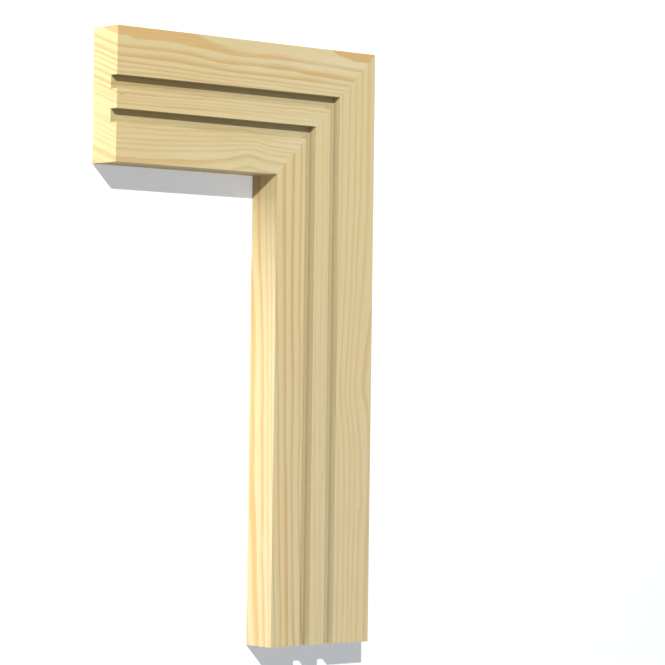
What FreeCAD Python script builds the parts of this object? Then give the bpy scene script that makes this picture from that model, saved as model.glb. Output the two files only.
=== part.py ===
"""Corner of a door architrave: a head and a leg of the same moulding, mitred together.

The corner lies flat on its back. X runs along the head to the right, Y runs up the leg and Z is the
thickness. The origin is on the back face, under the middle of the rectangle that the corner fills.
Millimetres.
"""
import FreeCAD, Part
import os

import Sketcher

# The section from the outer edge to the inner edge, and each length along its outer edge.
SIZES = (
    ("moulding_thickness", 20.0),
    ("outer_band", 25.0),
    ("middle_band", 10.0),
    ("inner_band", 20.0),
    ("groove_width", 7.0),
    ("groove_depth", 5.0),
    ("arris_radius", 0.2),
    ("head_length", 175.0),
    ("leg_length", 318.0),
    ("saw_overrun", 5.0),
)

# Width of the moulding: three bands and the two grooves between them.
WIDTH = "(Sizes.outer_band + Sizes.middle_band + Sizes.inner_band + 2 * Sizes.groove_width)"

# Each length starts at the corner: the way it runs along its own X, and its turn about Z in degrees.
HEAD_RUN, HEAD_TURN = -1, 0
LEG_RUN, LEG_TURN = 1, -90

# How a constraint names the two ends of a line, and the sketch's own origin.
START, END = 1, 2
ORIGIN = (-1, START)

# Lengths closer than this are the same.
SAME = 1e-6


def make_sheet(doc):
    """Write the driving sizes into a sheet, one to a row, each with its alias."""
    sheet = doc.addObject("Spreadsheet::Sheet", "Sizes")
    for row, (alias, size) in enumerate(SIZES, start=1):
        sheet.set(f"A{row}", alias)
        sheet.set(f"B{row}", str(size))
        sheet.setAlias(f"B{row}", alias)
    doc.recompute()
    return sheet


def new_sketch(body, name, role):
    """An empty sketch on one of the body's own base planes."""
    plane = next(feature for feature in body.Origin.OriginFeatures if feature.Role == role)
    sketch = body.newObject("Sketcher::SketchObject", name)
    sketch.AttachmentSupport = (plane, "")
    sketch.MapMode = "FlatFace"
    return sketch


def draw_chain(sketch, corners):
    """Close a chain of lines through the corners, and keep its level and upright lines so."""
    ends = [FreeCAD.Vector(x, y, 0) for x, y in corners]
    followers = ends[1:] + ends[:1]
    for end, follower in zip(ends, followers):
        sketch.addGeometry(Part.LineSegment(end, follower), False)
    for line, (end, follower) in enumerate(zip(ends, followers)):
        following_line = (line + 1) % len(ends)
        sketch.addConstraint(Sketcher.Constraint("Coincident", line, END, following_line, START))
        if abs(follower.y - end.y) < SAME:
            sketch.addConstraint(Sketcher.Constraint("Horizontal", line))
        elif abs(follower.x - end.x) < SAME:
            sketch.addConstraint(Sketcher.Constraint("Vertical", line))


def hold(sketch, kind, name, low, high, size):
    """Dimension the run from a low point to a high one, and bind it to the sheet."""
    run = sketch.getPoint(*high) - sketch.getPoint(*low)
    drawn = run.x if kind == "DistanceX" else run.y
    place = sketch.addConstraint(Sketcher.Constraint(kind, *low, *high, drawn))
    sketch.renameConstraint(place, name)
    sketch.setExpression(f"Constraints.{name}", size)


def draw_section(body, size):
    """Draw the section across the length: outer edge on the sketch's Y axis, inner edge to its left."""
    face = size.moulding_thickness
    floor = face - size.groove_depth
    outer_groove = -size.outer_band
    middle = outer_groove - size.groove_width
    inner_groove = middle - size.middle_band
    inner = inner_groove - size.groove_width
    inner_edge = inner - size.inner_band
    sketch = new_sketch(body, f"{body.Name}_section", "YZ_Plane")
    draw_chain(sketch, (
        (0, 0), (0, face),
        (outer_groove, face), (outer_groove, floor), (middle, floor), (middle, face),
        (inner_groove, face), (inner_groove, floor), (inner, floor), (inner, face),
        (inner_edge, face), (inner_edge, 0),
    ))
    edge_line, band_line, outer_wall, outer_floor, middle_wall, middle_line = range(6)
    inner_wall, inner_floor, inner_return, inner_line = range(6, 10)
    sketch.addConstraint(Sketcher.Constraint("Coincident", edge_line, START, *ORIGIN))
    hold(sketch, "DistanceY", "thickness", (edge_line, START), (edge_line, END), "Sizes.moulding_thickness")
    hold(sketch, "DistanceX", "outer_band", (band_line, END), (band_line, START), "Sizes.outer_band")
    hold(sketch, "DistanceX", "outer_groove", (outer_floor, END), (outer_floor, START), "Sizes.groove_width")
    hold(sketch, "DistanceX", "middle_band", (middle_line, END), (middle_line, START), "Sizes.middle_band")
    hold(sketch, "DistanceX", "inner_groove", (inner_floor, END), (inner_floor, START), "Sizes.groove_width")
    hold(sketch, "DistanceX", "inner_band", (inner_line, END), (inner_line, START), "Sizes.inner_band")
    for name, wall, other_wall in (
        ("outer_depth", outer_wall, middle_wall),
        ("inner_depth", inner_wall, inner_return),
    ):
        hold(sketch, "DistanceY", name, (wall, END), (wall, START), "Sizes.groove_depth")
        sketch.addConstraint(Sketcher.Constraint("Equal", wall, other_wall))
    return sketch


def draw_mitre_waste(body, size, run):
    """Draw the right triangle that the saw takes off, its long side on the 45 degree mitre line.

    It stands past the corner and the inner edge by the saw's overrun.
    """
    width = size.outer_band + size.middle_band + size.inner_band + 2 * size.groove_width
    side = width + 2 * size.saw_overrun
    sketch = new_sketch(body, f"{body.Name}_mitre_waste", "XY_Plane")
    past_corner = -run * size.saw_overrun
    past_edge = size.saw_overrun - side
    draw_chain(sketch, (
        (past_corner, size.saw_overrun),
        (past_corner, past_edge),
        (past_corner + run * side, past_edge),
    ))
    upright, level = 0, 1
    square_corner = (upright, END)
    waste_side = f"{WIDTH} + 2 * Sizes.saw_overrun"
    hold(sketch, "DistanceY", "upright_side", square_corner, (upright, START), waste_side)
    sketch.addConstraint(Sketcher.Constraint("Equal", upright, level))
    hold(sketch, "DistanceY", "past_edge", square_corner, ORIGIN, f"{WIDTH} + Sizes.saw_overrun")
    low, high = (ORIGIN, square_corner) if run < 0 else (square_corner, ORIGIN)
    hold(sketch, "DistanceX", "past_corner", low, high, "Sizes.saw_overrun")
    return sketch


def face_arrises(shape, face_height):
    """Names of the edges that run along the length at the height of the face."""
    names = []
    for number, edge in enumerate(shape.Edges, start=1):
        box = edge.BoundBox
        along = box.YLength < SAME and box.ZLength < SAME
        if along and abs(box.ZMin - face_height) < SAME:
            names.append(f"Edge{number}")
    return names


def make_length(doc, size, label, run, turn, length):
    """One length of moulding: section run out from the corner, mitre sawn off, arrises eased."""
    body = doc.addObject("PartDesign::Body", label)
    body.Label = label

    stock = body.newObject("PartDesign::Pad", f"{label}_stock")
    stock.Profile = draw_section(body, size)
    stock.Reversed = run < 0
    stock.setExpression("Length", length)
    doc.recompute()

    mitre = body.newObject("PartDesign::Pocket", f"{label}_mitre")
    mitre.Profile = draw_mitre_waste(body, size, run)
    mitre.Type = "ThroughAll"
    mitre.Reversed = True
    doc.recompute()
    if mitre.Shape.Volume > stock.Shape.Volume - SAME:
        raise RuntimeError(f"{label}: the mitre takes nothing off")

    easing = body.newObject("PartDesign::Fillet", f"{label}_arrises")
    easing.Base = (mitre, face_arrises(mitre.Shape, size.moulding_thickness))
    easing.setExpression("Radius", "Sizes.arris_radius")
    body.Tip = easing

    body.Placement = FreeCAD.Placement(
        FreeCAD.Vector(), FreeCAD.Rotation(FreeCAD.Vector(0, 0, 1), turn)
    )
    body.setExpression("Placement.Base.x", "Sizes.head_length / 2")
    body.setExpression("Placement.Base.y", "Sizes.leg_length / 2")
    return body


def check(doc, bodies):
    """Stop where a feature failed or a length isn't one sound solid."""
    for feature in doc.Objects:
        if "Invalid" in feature.State or "Error" in feature.State:
            raise RuntimeError(f"{feature.Label} failed: {feature.State}")
    for body in bodies:
        shape = body.Shape
        if shape.isNull() or not shape.isValid() or len(shape.Solids) != 1:
            raise RuntimeError(f"{body.Label} is not one sound solid")


def main():
    doc = FreeCAD.newDocument("architrave_corner")
    size = make_sheet(doc)
    bodies = (
        make_length(doc, size, "head_moulding", HEAD_RUN, HEAD_TURN, "Sizes.head_length"),
        make_length(doc, size, "leg_moulding", LEG_RUN, LEG_TURN, "Sizes.leg_length"),
    )
    doc.recompute()
    check(doc, bodies)

    os.makedirs("parts", exist_ok=True)
    for body in bodies:
        body.Shape.exportStep(f"parts/{body.Label}.step")
        print(body.Label, round(body.Shape.Volume), "mm3", body.Shape.BoundBox)


main()
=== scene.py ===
"""Looks of the mitred architrave corner: planed pine, studio light and camera.

The corner lies on its back on a white floor. Each length has its own pine: growth rings drawn along
the board, with fibre streaks and resin ducts between them, all cut from one solid pattern, so
that the face, the grooves, the edges and the sawn ends show the same rings.
"""

import math
from collections import namedtuple

import bpy
from mathutils import Matrix, Vector


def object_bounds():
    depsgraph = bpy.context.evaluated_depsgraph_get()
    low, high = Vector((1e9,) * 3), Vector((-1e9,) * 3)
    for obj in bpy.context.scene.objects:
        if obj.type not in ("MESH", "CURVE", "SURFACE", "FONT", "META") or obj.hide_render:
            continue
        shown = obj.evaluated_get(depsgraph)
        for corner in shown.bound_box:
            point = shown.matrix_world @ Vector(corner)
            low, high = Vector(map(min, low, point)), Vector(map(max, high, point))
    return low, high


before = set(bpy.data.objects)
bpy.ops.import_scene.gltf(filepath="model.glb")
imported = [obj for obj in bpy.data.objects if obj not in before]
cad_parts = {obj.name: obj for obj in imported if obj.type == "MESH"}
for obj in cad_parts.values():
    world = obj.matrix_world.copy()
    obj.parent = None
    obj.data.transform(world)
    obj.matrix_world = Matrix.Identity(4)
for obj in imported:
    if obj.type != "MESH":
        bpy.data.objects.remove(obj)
cad_low, cad_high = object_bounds()

# The pine is drawn in millimetres: along the board, across from its outer edge and down from its face.
MM = 1000.0
FACE = cad_high.z * MM
OUTER_TOP = cad_high.y * MM
OUTER_SIDE = cad_high.x * MM

# The two grooves, from and to across the board, and how deep they are.
GROOVES = ((25.0, 32.0), (42.0, 49.0))
GROOVE_DEPTH = 5.0

# Colours of the pine as they look on screen, 0 to 255.
LATEWOOD_TAN = (208, 174, 112)
LATEWOOD_ORANGE = (225, 185, 123)
FIBRE_SHADE = (200, 172, 122)
RESIN_DUCT = (190, 150, 96)
PIN_KNOT = (188, 142, 94)

# Patterns of the grain: size in millimetres along, across and down, and the share of its colour.
FIBRE_SIZE = (40.0, 0.7, 0.7)
FIBRE_SHARE = 0.3
DUCT_SIZE = (5.0, 0.22, 0.22)
DUCT_SHARE = 0.4
PATCH_SIZE = (22.0, 2.5, 1e6)
TONE_SIZE = (70.0, 9.0, 30.0)

# Levels of noise, from and to, over which early wood pales, fibre darkens and resin ducts show.
PALING_NOISE = (0.3, 0.8)
FIBRE_NOISE = (0.5, 0.8)
DUCT_NOISE = (0.74, 0.80)

# Share of the late wood's colour where there is no noise, and what the patches and the fibre add.
LATE_LEAST = 0.25
LATE_BY_PATCH = 0.5
LATE_BY_FIBRE = 1.1

# Edges of a ring in millimetres: half the blur of its sharp side and of a soft side on a line of its
# own. Any other soft side blurs by a share of its width.
SHARP_BLUR = 0.3
SOFT_BLUR = 1.5
SOFT_BLUR_SHARE = 0.7

# Planed surface: how strong the fibre's relief is, its depth in metres and how far late wood sinks in
# it, then the roughness and what late wood takes off it and fibre adds.
RELIEF = 0.25
RELIEF_DEPTH = 0.0002
LATE_SINKS = 0.3
ROUGHNESS = 0.58
LATE_SMOOTHS = 0.08
FIBRE_ROUGHENS = 0.06

# Colours painted into the grooves: painted shade, low down, at the foot of a wall and high on the
# head's walls, and a pale, cool painted light high on the leg's walls.
PAINTED_GROOVE_SHADE = (60, 88, 80)
PAINTED_WALL_LIGHT = (244, 255, 227)

# The one pin knot, on the head: along, across, its radius across the board and how much longer it is.
KNOT_PLACE = (-84.5, 34.8)
KNOT_RADIUS = 0.75
KNOT_STRETCH = 1.6

# A ring has the line of its sharp side as (along, across) points, and the soft side a width away from
# it, or on a line of its own. Strength and warmth run from 0 to 1; strength may change along the board.
Ring = namedtuple("Ring", "sharp soft strength warmth")

# Rings of the head whose soft side faces the outer edge.
HEAD_OUTER_RINGS = (
    Ring(
        ((45, -2), (56, 0.5), (60, 2.0), (67, 3.8), (72, 4.8), (82, 5.0), (90, 5.1)),
        30.0, 1.0, 0.9,
    ),
    Ring(
        ((-87, 4.7), (-80, 5.0), (-75, 6.3), (-70, 6.0), (-60, 5.7), (-50, 5.9), (-40, 6.8),
         (-30, 7.6), (-20, 8.4), (-12, 9.1), (0, 9.0), (20, 8.8), (30, 8.8), (40, 9.2), (50, 9.4),
         (60, 9.7), (77, 10.5)),
        ((-87, -9), (-40, -1.0), (-28, 3.0), (-20, 4.8), (-12, 6.4), (-5, 7.0), (0, 7.1), (10, 6.8),
         (20, 6.5), (30, 7.2), (50, 8.0), (77, 9.2)),
        ((-87, 0.9), (-55, 0.92), (-40, 0.82), (-20, 0.9), (0, 0.82), (20, 0.9), (40, 0.7),
         (77, 0.75)),
        0.9,
    ),
    Ring(
        ((-87, 11.1), (-67, 11.1), (-50, 11.3), (-40, 11.8), (-30, 12.9), (-20, 13.8), (-12, 14.0),
         (0, 13.7), (5, 13.5), (12, 13.9), (30, 13.8), (35, 14.5), (40, 15.0), (50, 15.3),
         (60, 15.7), (72, 16.3)),
        ((-87, 9.8), (-60, 9.9), (-40, 10.1), (-20, 12.0), (0, 11.8), (12, 11.5), (20, 11.5),
         (40, 12.6), (60, 13.4), (72, 14.2)),
        ((-87, 1.0), (-20, 0.98), (5, 0.75), (20, 0.9), (45, 0.95), (72, 0.85)), 0.6,
    ),
    Ring(
        ((-87, 15.75), (-60, 15.95), (-50, 16.1), (-40, 16.6), (-30, 17.2), (-20, 17.7), (0, 18.1),
         (20, 18.2), (40, 18.5), (60, 19.1), (70, 19.4)),
        ((-87, 13.9), (-60, 13.8), (-40, 14.5), (-20, 16.0), (0, 16.5), (20, 16.6), (40, 16.6),
         (60, 17.5), (70, 17.8)),
        ((-87, 0.82), (0, 0.85), (25, 0.8), (32, 0.88), (44, 0.82), (50, 0.7), (70, 0.68)), 0.4,
    ),
    Ring(
        ((-87, 18.6), (-80, 18.8), (-60, 19.1), (-40, 19.8), (-20, 20.5), (0, 20.7), (20, 20.9),
         (40, 21.3), (68, 21.8)),
        1.0, ((-87, 0.9), (-75, 0.72), (-40, 0.58), (20, 0.56), (40, 0.48), (68, 0.56)), 0.1,
    ),
    Ring(
        ((-87, 21.2), (-60, 21.4), (-40, 22.0), (-20, 22.5), (0, 22.6), (20, 22.8), (40, 23.3),
         (65, 23.9)),
        1.0, ((-87, 0.55), (-60, 0.65), (-40, 0.42), (-20, 0.26), (0, 0.38), (65, 0.4)), 0.1,
    ),
    Ring(
        ((-87, 24.2), (-80, 24.1), (-60, 23.8), (-40, 24.3), (-20, 24.6), (0, 24.9), (60, 25.8)),
        1.1, ((-87, 0.7), (-40, 0.7), (-20, 0.48), (60, 0.35)), 0.2,
    ),
    Ring(
        ((-87, 27.6), (-70, 27.2), (-40, 26.9), (0, 27.6), (60, 28.2)),
        1.4, ((-87, 0.8), (-72, 0.75), (-55, 0.3), (60, 0.3)), 0.3,
    ),
    Ring(
        ((-87, 31.8), (-75, 31.5), (-60, 31.0), (-20, 31.0), (0, 31.4), (60, 31.6)),
        1.5, ((-87, 1.0), (-50, 0.9), (-20, 0.42), (60, 0.38)), 0.5,
    ),
    Ring(
        ((-87, 34.6), (-60, 34.4), (-40, 34.1), (-22, 33.5), (-15, 33.8), (0, 34.2), (20, 34.3),
         (33, 33.8), (40, 34.1), (52, 34.3)),
        1.0, ((-87, 0.75), (-60, 0.65), (-40, 0.7), (-20, 0.42), (0, 0.55), (52, 0.46)), 0.5,
    ),
    Ring(
        ((-87, 36.4), (-60, 36.4), (-40, 35.9), (0, 35.8), (20, 36.0), (50, 36.3)),
        0.9, ((-87, 0.34), (0, 0.34), (50, 0.2)), 0.2,
    ),
    Ring(
        ((-87, 37.9), (-60, 38.0), (-40, 37.4), (0, 37.5), (50, 37.9)),
        0.9, ((-87, 0.4), (0, 0.36), (50, 0.25)), 0.2,
    ),
    Ring(
        ((-87, 39.9), (-60, 39.8), (-40, 39.3), (-20, 39.3), (0, 39.8), (50, 40.5)),
        1.0, ((-87, 0.58), (-60, 0.52), (-40, 0.7), (-20, 0.42), (-5, 0.24), (50, 0.12)), 0.2,
    ),
    Ring(((-87, 44.6), (-40, 44.0), (0, 42.8), (40, 44.0)), 1.0, 0.15, 0.2),
)

# Rings of the head whose soft side faces the inner edge.
HEAD_INNER_RINGS = (
    Ring(
        ((-87, 48.9), (-60, 48.7), (-45, 47.6), (-20, 46.4), (0, 45.2), (12, 46.6), (40, 47.6)),
        1.0, ((-87, 0.4), (-60, 0.3), (-45, 0.15), (40, 0.15)), 0.2,
    ),
    Ring(
        ((-87, 50.5), (-60, 50.5), (-40, 49.7), (-25, 49.1), (-10, 48.4), (0, 48.0), (10, 49.2),
         (30, 49.8), (45, 50.4)),
        1.0, ((-87, 0.42), (0, 0.45), (15, 0.18), (45, 0.18)), 0.3,
    ),
    Ring(
        ((-87, 53.9), (-80, 53.5), (-50, 52.9), (-35, 52.3), (-20, 51.3), (-5, 50.4), (3, 50.1),
         (10, 50.9), (20, 51.6), (35, 52.0)),
        0.9, 0.3, 0.1,
    ),
    Ring(
        ((-87, 56.6), (-65, 56.1), (-50, 55.5), (-35, 54.7), (-15, 53.3), (-5, 52.8), (3, 52.5),
         (8, 53.2), (13, 54.2), (25, 54.7), (35, 55.2)),
        0.9, 0.35, 0.1,
    ),
    Ring(
        ((-87, 58.9), (-65, 58.6), (-50, 58.1), (-40, 57.3), (-25, 56.5), (-12, 55.5), (0, 54.6),
         (5, 54.7), (10, 55.7), (18, 56.3), (32, 56.9)),
        1.0, 0.33, 0.15,
    ),
    Ring(
        ((-87, 61.7), (-70, 61.5), (-55, 61.0), (-40, 60.0), (-25, 59.2), (-12, 58.0), (-2, 56.6),
         (3, 56.6), (8, 57.5), (14, 58.3), (30, 59.2)),
        1.2, 0.4, 0.2,
    ),
    Ring(
        ((-87, 66.3), (-60, 66.0), (-50, 65.4), (-38, 65.0), (-28, 64.3), (-20, 63.6), (-12, 62.0),
         (-5, 60.2), (0, 59.7), (3, 60.0), (8, 61.4), (15, 62.2), (27, 62.9)),
        ((-87, 69.0), (-50, 68.0), (-28, 66.4), (-12, 63.8), (0, 61.7), (8, 63.0), (27, 64.6)),
        ((-87, 0.72), (-30, 0.58), (0, 0.58), (27, 0.55)), 0.7,
    ),
    Ring(
        ((-87, 71.6), (-50, 70.6), (-30, 70.0), (-15, 68.9), (-12, 68.0), (-8, 67.0), (-3, 66.0),
         (0, 65.9), (4, 66.5), (8, 67.5), (13, 68.0), (20, 68.6)),
        1.4, 0.45, 0.3,
    ),
    Ring(((-87, 73.6), (-40, 72.6), (0, 71.4), (30, 72.4)), 1.6, 0.8, 0.7),
)

# Rings of the leg whose soft side faces the outer edge.
LEG_OUTER_RINGS = (
    Ring(
        ((-159, 3.9), (-140, 3.8), (-120, 3.6), (-100, 3.1), (-80, 2.4), (-60, 1.9), (-50, 2.3),
         (-40, 2.9), (-35, 3.9), (-30, 5.0), (-25, 6.8), (-20, 7.2), (-10, 6.2), (0, 4.9),
         (10, 3.0), (20, 1.3), (26, -1.5)),
        ((-159, 1.8), (-140, 1.5), (-120, 1.2), (-100, 0.6), (-80, 0.3), (-60, 0.5), (-50, 0.7),
         (-40, 1.0), (-35, 1.4), (-30, 2.0), (-25, 3.2), (-20, 4.0), (-10, 2.8), (0, 1.8),
         (10, 0.5), (20, -1.0), (26, -4)),
        0.5, 0.7,
    ),
    Ring(
        ((-159, 9.5), (-140, 9.0), (-130, 9.4), (-120, 8.8), (-100, 8.6), (-88, 7.9), (-83, 6.9),
         (-80, 7.2), (-70, 7.8), (-60, 7.9), (-50, 8.5), (-40, 9.9), (-30, 11.7), (-25, 12.5),
         (-20, 12.6), (-10, 11.8), (0, 10.9), (20, 9.2), (30, 8.2), (50, 6.9), (60, 6.4), (80, 5.4),
         (150, 5.4)),
        ((-159, 8.0), (-140, 7.4), (-120, 7.2), (-100, 7.0), (-83, 5.4), (-70, 6.3), (-60, 6.5),
         (-50, 7.0), (-40, 8.4), (-30, 10.2), (-20, 11.0), (-10, 10.2), (0, 9.3), (10, 8.4),
         (30, 6.2), (50, 4.4), (70, 3.2), (80, 3.0), (150, 3.0)),
        ((-159, 0.4), (40, 0.38), (60, 0.36), (150, 0.36)), 0.8,
    ),
    Ring(
        ((-159, 12.7), (-120, 12.5), (-90, 12.0), (-60, 11.9), (-50, 12.5), (-40, 13.8),
         (-30, 15.5), (-22, 16.1), (-10, 15.5), (0, 14.9), (10, 14.2), (20, 13.4), (30, 12.7),
         (40, 12.4), (60, 11.4), (80, 10.2), (100, 9.9), (140, 9.8)),
        1.2, ((-159, 0.35), (0, 0.32), (40, 0.4), (60, 0.55), (80, 0.42), (140, 0.4)), 0.3,
    ),
    Ring(
        ((-159, 15.9), (-145, 15.6), (-120, 15.8), (-90, 15.4), (-60, 15.2), (-50, 15.9),
         (-40, 17.3), (-30, 18.9), (-20, 19.2), (0, 18.0), (20, 16.9), (30, 16.2), (60, 15.3),
         (80, 14.4), (140, 14.1)),
        1.2, 0.38, 0.25,
    ),
    Ring(
        ((-159, 19.6), (-145, 19.3), (-135, 18.9), (-120, 19.2), (-90, 19.2), (-60, 19.8),
         (-50, 20.4), (-40, 21.3), (-30, 22.6), (-20, 22.9), (0, 22.1), (20, 21.2), (30, 20.6),
         (60, 19.7), (90, 19.0), (140, 18.4)),
        1.2, 0.37, 0.2,
    ),
    Ring(
        ((-159, 23.3), (-120, 23.1), (-90, 23.6), (-60, 23.8), (-50, 24.4), (-40, 25.2),
         (-30, 26.5), (-20, 26.8), (0, 26.0), (20, 25.3), (35, 24.9), (60, 24.4), (90, 23.7),
         (140, 23.9)),
        1.2, 0.37, 0.2,
    ),
    Ring(
        ((-159, 34.5), (-120, 35.1), (-80, 35.9), (-60, 33.5), (-20, 34.1), (40, 33.8), (90, 34.2),
         (140, 34.0)),
        1.0, 0.25, 0.2,
    ),
    Ring(((-159, 36.6), (-80, 36.4), (0, 37.4), (60, 37.0), (140, 37.6)), 1.0, 0.27, 0.2),
    Ring(
        ((-159, 38.2), (-110, 39.5), (-80, 40.3), (0, 41.2), (140, 41.1)),
        1.0, ((-159, 0.35), (0, 0.3), (50, 0.12), (140, 0.12)), 0.2,
    ),
    Ring(
        ((-159, 42.7), (-145, 42.7), (-120, 43.4), (0, 43.6), (140, 43.0)),
        1.3, ((-159, 0.5), (-120, 0.2), (140, 0.2)), 0.6,
    ),
)

# Rings of the leg whose soft side faces the inner edge. Those past the width come out on that edge.
LEG_INNER_RINGS = (
    Ring(((-159, 45.0), (-60, 46.6), (0, 46.4), (110, 46.8)), 1.1, 0.15, 0.3),
    Ring(
        ((-159, 45.4), (-145, 47.1), (-130, 47.9), (-120, 48.3), (-110, 49.1), (-100, 49.6),
         (-90, 49.9), (-70, 50.5), (-60, 50.4), (-45, 49.9), (-30, 50.5), (0, 50.5), (5, 50.8),
         (12, 51.4), (20, 51.5), (60, 51.3), (110, 51.1)),
        1.3, ((-159, 0.95), (-130, 0.95), (-110, 0.7), (-70, 0.55), (0, 0.6), (30, 0.75),
              (110, 0.72)),
        0.4,
    ),
    Ring(
        ((-159, 51.9), (-145, 52.7), (-120, 53.6), (-90, 54.5), (-60, 55.0), (-30, 55.0),
         (-10, 55.3), (0, 55.7), (20, 56.1), (50, 56.5), (80, 56.5), (105, 56.3)),
        1.8, ((-159, 0.95), (-145, 0.9), (-120, 0.5), (-60, 0.6), (-30, 0.8), (22, 0.95),
              (105, 0.9)), 0.5,
    ),
    Ring(
        ((-159, 56.7), (-130, 57.3), (-110, 57.9), (-90, 58.4), (-70, 59.2), (-60, 59.8),
         (-50, 60.1), (-25, 60.3), (0, 60.9), (20, 61.3), (40, 61.8), (60, 62.0), (80, 62.5),
         (100, 62.4)),
        ((-159, 58.6), (-60, 61.4), (0, 62.6), (60, 64.2), (100, 65.0)),
        0.85, 0.45,
    ),
    Ring(
        ((-159, 61.5), (-140, 61.8), (-120, 62.8), (-100, 63.4), (-80, 64.1), (-60, 64.7),
         (-40, 65.0), (-20, 65.5), (-10, 66.2), (0, 66.2), (20, 67.2), (40, 67.8), (60, 68.3),
         (80, 68.6), (95, 68.7)),
        1.4, 0.65, 0.35,
    ),
    Ring(
        ((-159, 65.6), (-150, 65.8), (-130, 66.7), (-110, 67.5), (-80, 68.4), (-60, 69.4),
         (-45, 69.9), (-30, 70.1), (0, 70.4), (20, 70.7), (40, 71.1), (50, 71.5), (60, 71.9),
         (80, 72.4), (90, 72.5)),
        0.9, ((-159, 0.55), (-80, 0.55), (-50, 0.4), (90, 0.42)), 0.1,
    ),
    Ring(
        ((-159, 69.5), (-140, 69.9), (-120, 70.5), (-100, 70.9), (-80, 71.3), (-60, 71.7),
         (-40, 72.0), (-22, 72.0), (-12, 72.6), (0, 72.6), (20, 73.2), (40, 73.8), (50, 74.1),
         (70, 74.7), (90, 74.9)),
        1.0, 0.45, 0.1,
    ),
    Ring(
        ((-159, 72.1), (-150, 72.5), (-130, 73.2), (-105, 74.3), (-98, 74.1), (-80, 74.3),
         (-60, 74.8), (-50, 74.9), (-40, 75.2), (-30, 75.1), (-20, 75.3), (0, 75.6), (10, 76.0),
         (20, 76.4), (30, 76.9), (45, 77.9), (60, 78.6), (80, 79.1), (90, 79.2)),
        1.6, ((-159, 0.8), (-112, 0.8), (-105, 0.5), (-95, 0.9), (90, 0.9)), 0.7,
    ),
    Ring(
        ((-159, 76.0), (-150, 76.4), (-130, 77.5), (-110, 78.2), (-90, 79.0), (-80, 79.9),
         (-60, 80.5), (-40, 80.5), (-30, 81.0), (-20, 80.6), (10, 80.9), (20, 81.5), (30, 82.2),
         (40, 83.0), (50, 84.0), (90, 86.0)),
        ((-159, 78.9), (-130, 80.4), (-100, 81.8), (-80, 83.1), (-40, 82.9), (0, 83.4), (30, 85.0),
         (90, 89.0)),
        0.95, 0.9,
    ),
    Ring(((-159, 82.3), (-140, 83.6), (-100, 86.0), (90, 92.0)), 1.2, 0.7, 0.6),
)

# What one length is cut from: the axis it runs along, how far its rings lean across for each
# millimetre down, its early wood and the paler tone that it takes, and the length over which it pales.
# In a groove, the tone painted high on its outer wall and its share (painted shade on the head, painted
# light on the leg), and the shares of painted shade at the foot of that wall and on the floor.
Board = namedtuple(
    "Board", "axis lean outer_rings inner_rings early pale paling wall_tint wall foot floor"
)
HEAD = Board(
    axis="x", lean=0.35, outer_rings=HEAD_OUTER_RINGS, inner_rings=HEAD_INNER_RINGS,
    early=(229, 208, 154), pale=(234, 218, 174), paling=330.0,
    wall_tint=PAINTED_GROOVE_SHADE, wall=0.35, foot=0.46, floor=0.29,
)
LEG = Board(
    axis="y", lean=0.75, outer_rings=LEG_OUTER_RINGS, inner_rings=LEG_INNER_RINGS,
    early=(231, 210, 158), pale=(230, 211, 166), paling=-800.0,
    wall_tint=PAINTED_WALL_LIGHT, wall=0.13, foot=0.48, floor=0.34,
)

# Camera of the picture: place in metres, turns in degrees and lens in millimetres.
CAMERA_PLACE = (-0.9462, -0.0226, 1.1583)
CAMERA_SWING = -41.449
CAMERA_TILT = 1.136
CAMERA_ROLL = 0.762
CAMERA_LENS = 153.53

# Light: a small key lamp high on the upper left, a long lamp on the floor at the left, and the room.
# Places and sizes in metres, powers in watts.
KEY_FROM = (-0.479, 0.471, 0.742)
KEY_DISTANCE = 4.5
KEY_SIZE = 0.08
KEY_POWER = 189.0
LAMP_PLACE = (-2.27, 1.30, 0.011)
LAMP_SIZE = (2.1, 0.016)
LAMP_POWER = 52.8
ROOM_LIGHT = 0.18
ROOM_COLOUR = (0.95, 0.99, 1.05, 1.0)

# Floor: side in metres, its grey to the camera and to the light that it throws back, and the cool glow
# that takes it to white for the camera.
FLOOR_SIDE = 12.0
FLOOR_COLOUR = 0.89
FLOOR_BOUNCE = 0.56
FLOOR_GLOW = 0.35
GLOW_COLOUR = (0.875, 0.93, 1.0, 1.0)


def linear(colour):
    """Scene colour of a screen colour."""
    shares = [channel / 255 for channel in colour]
    return tuple(
        share / 12.92 if share <= 0.04045 else ((share + 0.055) / 1.055) ** 2.4 for share in shares
    ) + (1.0,)


class Value:
    """A number that varies over the surface. Arithmetic on it adds Math nodes."""

    def __init__(self, shader, socket):
        self.shader = shader
        self.socket = socket

    def math(self, operation, *operands):
        sockets = dict(enumerate(operands))
        return self.shader.node("ShaderNodeMath", {"operation": operation}, sockets)

    def __add__(self, other):
        return self.math("ADD", self, other)

    def __radd__(self, other):
        return self.math("ADD", other, self)

    def __sub__(self, other):
        return self.math("SUBTRACT", self, other)

    def __rsub__(self, other):
        return self.math("SUBTRACT", other, self)

    def __mul__(self, other):
        return self.math("MULTIPLY", self, other)

    def __rmul__(self, other):
        return self.math("MULTIPLY", other, self)

    def __truediv__(self, other):
        return self.math("DIVIDE", self, other)

    def most(self, other):
        return self.math("MAXIMUM", self, other)


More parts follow.
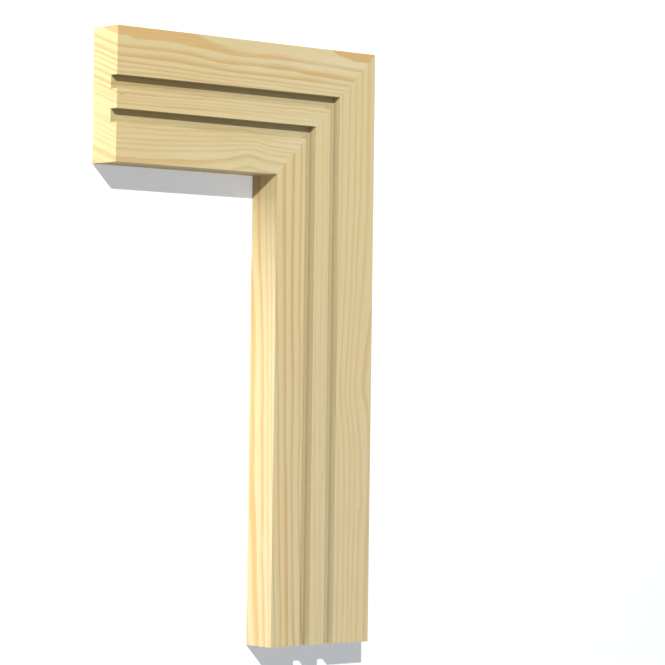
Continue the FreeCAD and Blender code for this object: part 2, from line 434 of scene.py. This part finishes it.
class Shader:
    """The node tree of one material or of the world."""

    def __init__(self, owner):
        owner.use_nodes = True
        self.tree = owner.node_tree
        self.tree.nodes.clear()

    def node(self, kind, settings=None, sockets=None, output=0):
        """Add a node: its settings first, then the values or links of its sockets."""
        made = self.tree.nodes.new(kind)
        for name, setting in (settings or {}).items():
            if name == "line":
                self.draw_line(made.mapping, setting)
            else:
                setattr(made, name, setting)
        for place, value in (sockets or {}).items():
            if isinstance(value, Value):
                self.tree.links.new(value.socket, made.inputs[place])
            else:
                made.inputs[place].default_value = value
        return Value(self, made.outputs[output]) if len(made.outputs) else made

    @staticmethod
    def draw_line(mapping, points):
        """Lay a curve node's line through the points."""
        mapping.use_clip = False
        line = mapping.curves[0].points
        for _ in points[2:]:
            line.new(0.0, 0.0)
        for place, point in zip(line, sorted(points)):
            place.location = point
            place.handle_type = "AUTO_CLAMPED"
        mapping.update()

    def along(self, value, points):
        """Height of a drawn line at a value."""
        return self.node("ShaderNodeFloatCurve", {"line": points}, {"Value": value})

    def step(self, value, start, end):
        """Smooth rise from 0 to 1 as a value goes from start to end."""
        return self.node(
            "ShaderNodeMapRange",
            {"interpolation_type": "SMOOTHSTEP"},
            {"Value": value, "From Min": start, "From Max": end},
        )

    def noise(self, place, size, detail=2.0):
        """Soft noise about 0.5 at a place along, across and down, of a size in each of them."""
        scaled = {axis: along / length for axis, (along, length) in enumerate(zip(place, size))}
        vector = self.node("ShaderNodeCombineXYZ", {}, scaled)
        return self.node(
            "ShaderNodeTexNoise",
            {"noise_dimensions": "3D"},
            {"Vector": vector, "Scale": 1.0, "Detail": detail, "Roughness": 0.5},
        )

    def mix(self, share, first, second):
        """First colour where the share is 0, second where it is 1."""
        factor, colour_a, colour_b, result = 0, 6, 7, 2
        sockets = {factor: share, colour_a: first, colour_b: second}
        return self.node("ShaderNodeMix", {"data_type": "RGBA"}, sockets, output=result)


def ring_mask(shader, ring, along, across, fade):
    """How much of a ring shows at a place.

    Fade is -1 where its soft side faces the outer edge, and 1 where it faces the inner edge.
    """
    sharp = shader.along(along, ring.sharp)
    if isinstance(ring.soft, tuple):
        soft = shader.along(along, ring.soft)
        blur = SOFT_BLUR
    else:
        soft = sharp + fade * ring.soft
        blur = SOFT_BLUR_SHARE * ring.soft
    edge = shader.step(across, sharp - fade * SHARP_BLUR, sharp + fade * SHARP_BLUR)
    tail = shader.step(across, soft + fade * blur, soft - fade * blur)
    strength = ring.strength
    if isinstance(strength, tuple):
        strength = shader.along(along, strength)
    return edge * tail * strength


def board_coordinates(shader, board):
    """Along, across and down a length of moulding, and across with the lean of its rings."""
    point = shader.node("ShaderNodeTexCoord", output="Object")
    x, y, z = (
        shader.node("ShaderNodeSeparateXYZ", {}, {"Vector": point}, output=axis) * MM for axis in "XYZ"
    )
    down = FACE - z
    if board.axis == "x":
        along, across = x, OUTER_TOP - y
    else:
        along, across = y, OUTER_SIDE - x
    return along, across, down, across + board.lean * down


def make_pine(name, board, knot=False):
    """Planed pine of one length, with its own rings."""
    material = bpy.data.materials.new(name)
    shader = Shader(material)
    along, across, down, ringwise = board_coordinates(shader, board)
    place = (along, ringwise, down)

    late, warm = 0.0, 0.0
    for fade, rings in ((-1, board.outer_rings), (1, board.inner_rings)):
        for ring in rings:
            mask = ring_mask(shader, ring, along, ringwise, fade)
            late = mask.most(late)
            warm = (mask * ring.warmth).most(warm)
    fibre = shader.noise(place, FIBRE_SIZE, detail=3.0)
    patches = shader.noise(place, PATCH_SIZE)
    late = late * (LATE_LEAST + LATE_BY_PATCH * patches + LATE_BY_FIBRE * fibre)

    tone = shader.noise(place, TONE_SIZE) + along / board.paling
    paleness = shader.step(tone, *PALING_NOISE)
    earlywood = shader.mix(paleness, linear(board.early), linear(board.pale))
    latewood = shader.mix(warm, linear(LATEWOOD_TAN), linear(LATEWOOD_ORANGE))
    colour = shader.mix(late, earlywood, latewood)

    streaks = shader.step(fibre, *FIBRE_NOISE)
    colour = shader.mix(FIBRE_SHARE * streaks, colour, linear(FIBRE_SHADE))
    ducts = shader.step(shader.noise(place, DUCT_SIZE, detail=0.0), *DUCT_NOISE)
    colour = shader.mix(DUCT_SHARE * ducts, colour, linear(RESIN_DUCT))
    if knot:
        colour = shader.mix(knot_mask(shader, along, across), colour, linear(PIN_KNOT))
    # Painted shade in the grooves, and painted light high on the leg's groove walls.
    colour = paint_groove_light_and_shade(shader, board, across, down, colour)

    relief = shader.node(
        "ShaderNodeBump", {},
        {"Strength": RELIEF, "Distance": RELIEF_DEPTH, "Height": fibre - LATE_SINKS * late},
    )
    roughness = ROUGHNESS - LATE_SMOOTHS * late + FIBRE_ROUGHENS * fibre
    surface = shader.node(
        "ShaderNodeBsdfPrincipled", {},
        {"Base Color": colour, "Roughness": roughness, "Normal": relief},
    )
    shader.node("ShaderNodeOutputMaterial", {}, {"Surface": surface})
    return material


def paint_groove_light_and_shade(shader, board, across, down, colour):
    """Paint shade into the grooves, darkest low down, and a tone high on their outer walls: painted
    shade on the head, painted light on the leg.

    The planed faces and the sawn ends keep their colour.
    """
    slack = 0.1
    below_face = shader.step(down, 0.0, slack)
    above_floor = shader.step(down, GROOVE_DEPTH + 2 * slack, GROOVE_DEPTH + slack)
    cut = below_face * above_floor
    grooves, walls = 0.0, 0.0
    for near, far in GROOVES:
        past_near = shader.step(across, near - slack, near)
        groove = cut * past_near * shader.step(across, far + slack, far)
        grooves = groove + grooves
        walls = groove * shader.step(across, near + 3 * slack, near + slack) + walls
    deep = shader.node("ShaderNodeMath", {"operation": "MINIMUM"}, {0: down / GROOVE_DEPTH, 1: 1.0})
    low = deep * deep
    # Painted shade: darker deeper in a groove, most at the foot of its outer wall.
    painted_shade = low * (board.floor * grooves + (board.foot - board.floor) * walls)
    colour = shader.mix(painted_shade, colour, linear(PAINTED_GROOVE_SHADE))
    # Painted tone high on the outer walls, fading with depth: painted shade on the head, painted light
    # on the leg.
    return shader.mix((1.0 - low) * board.wall * walls, colour, linear(board.wall_tint))


def knot_mask(shader, along, across):
    """1 in the middle of the pin knot, 0 outside it."""
    aside = (along - KNOT_PLACE[0]) / KNOT_STRETCH
    over = across - KNOT_PLACE[1]
    distance = shader.node("ShaderNodeMath", {"operation": "SQRT"}, {0: aside * aside + over * over})
    return shader.step(distance, KNOT_RADIUS, 0.0)


def dress(node, material):
    """Give a CAD node one material."""
    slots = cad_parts[node].data.materials
    slots.clear()
    slots.append(material)


def make_floor():
    """White floor that keeps the shadow, and is as bright as paper to the camera."""
    bpy.ops.mesh.primitive_plane_add(size=FLOOR_SIDE)
    floor = bpy.context.object
    floor.name = "floor"
    material = bpy.data.materials.new("floor_white")
    shader = Shader(material)
    seen = seen_directly(shader)
    grey = FLOOR_BOUNCE + (FLOOR_COLOUR - FLOOR_BOUNCE) * seen
    paint = shader.node("ShaderNodeBsdfDiffuse", {}, {"Color": grey})
    glow = shader.node(
        "ShaderNodeEmission", {}, {"Color": GLOW_COLOUR, "Strength": seen * FLOOR_GLOW}
    )
    both = shader.node("ShaderNodeAddShader", {}, {0: paint, 1: glow})
    shader.node("ShaderNodeOutputMaterial", {}, {"Surface": both})
    floor.data.materials.append(material)


def seen_directly(shader):
    """1 where the camera, or a mirror or glass, looks straight at a surface."""
    camera, glossy, transmission = (
        shader.node("ShaderNodeLightPath", output=name)
        for name in ("Is Camera Ray", "Is Glossy Ray", "Is Transmission Ray")
    )
    return camera.most(glossy).most(transmission)


def make_room_light():
    """An even room light, white where it is seen directly."""
    world = bpy.data.worlds.new("room")
    bpy.context.scene.world = world
    shader = Shader(world)
    seen = seen_directly(shader)
    strength = ROOM_LIGHT + (1.0 - ROOM_LIGHT) * seen
    light = shader.node("ShaderNodeBackground", {}, {"Color": ROOM_COLOUR, "Strength": strength})
    shader.node("ShaderNodeOutputWorld", {}, {"Surface": light})


def make_lamp(name, place, back, shape, size, power):
    """An area lamp at a place, with the way that its back looks."""
    lamp = bpy.data.objects.new(name, bpy.data.lights.new(name, "AREA"))
    lamp.data.shape = shape
    lamp.data.size, lamp.data.size_y = size
    lamp.data.energy = power
    lamp.location = place
    lamp.rotation_euler = back.to_track_quat("Z", "Y").to_euler()
    bpy.context.scene.collection.objects.link(lamp)


def make_lights():
    """Key lamp turned to the corner, and the long lamp that lights its left sides."""
    key_place = Vector(KEY_FROM) * KEY_DISTANCE
    lamp_place = Vector(LAMP_PLACE)
    make_lamp("key_lamp", key_place, key_place, "DISK", (KEY_SIZE, KEY_SIZE), KEY_POWER)
    make_lamp("long_lamp", lamp_place, Vector((-1, 0, 0)), "RECTANGLE", LAMP_SIZE, LAMP_POWER)


def make_camera():
    """Camera of the picture."""
    scene = bpy.context.scene
    camera = bpy.data.objects.new("camera", bpy.data.cameras.new("camera"))
    camera.data.lens = CAMERA_LENS
    turns = (("Y", CAMERA_SWING), ("X", CAMERA_TILT), ("Z", CAMERA_ROLL))
    pose = Matrix.Translation(CAMERA_PLACE)
    for axis, degrees in turns:
        pose = pose @ Matrix.Rotation(math.radians(degrees), 4, axis)
    camera.matrix_world = pose
    scene.collection.objects.link(camera)
    scene.camera = camera


bpy.ops.object.select_all(action="DESELECT")
dress("head_moulding", make_pine("head_pine", HEAD, knot=True))
dress("leg_moulding", make_pine("leg_pine", LEG))
make_floor()
make_room_light()
make_lights()
make_camera()
bpy.context.scene.view_settings.view_transform = "Standard"
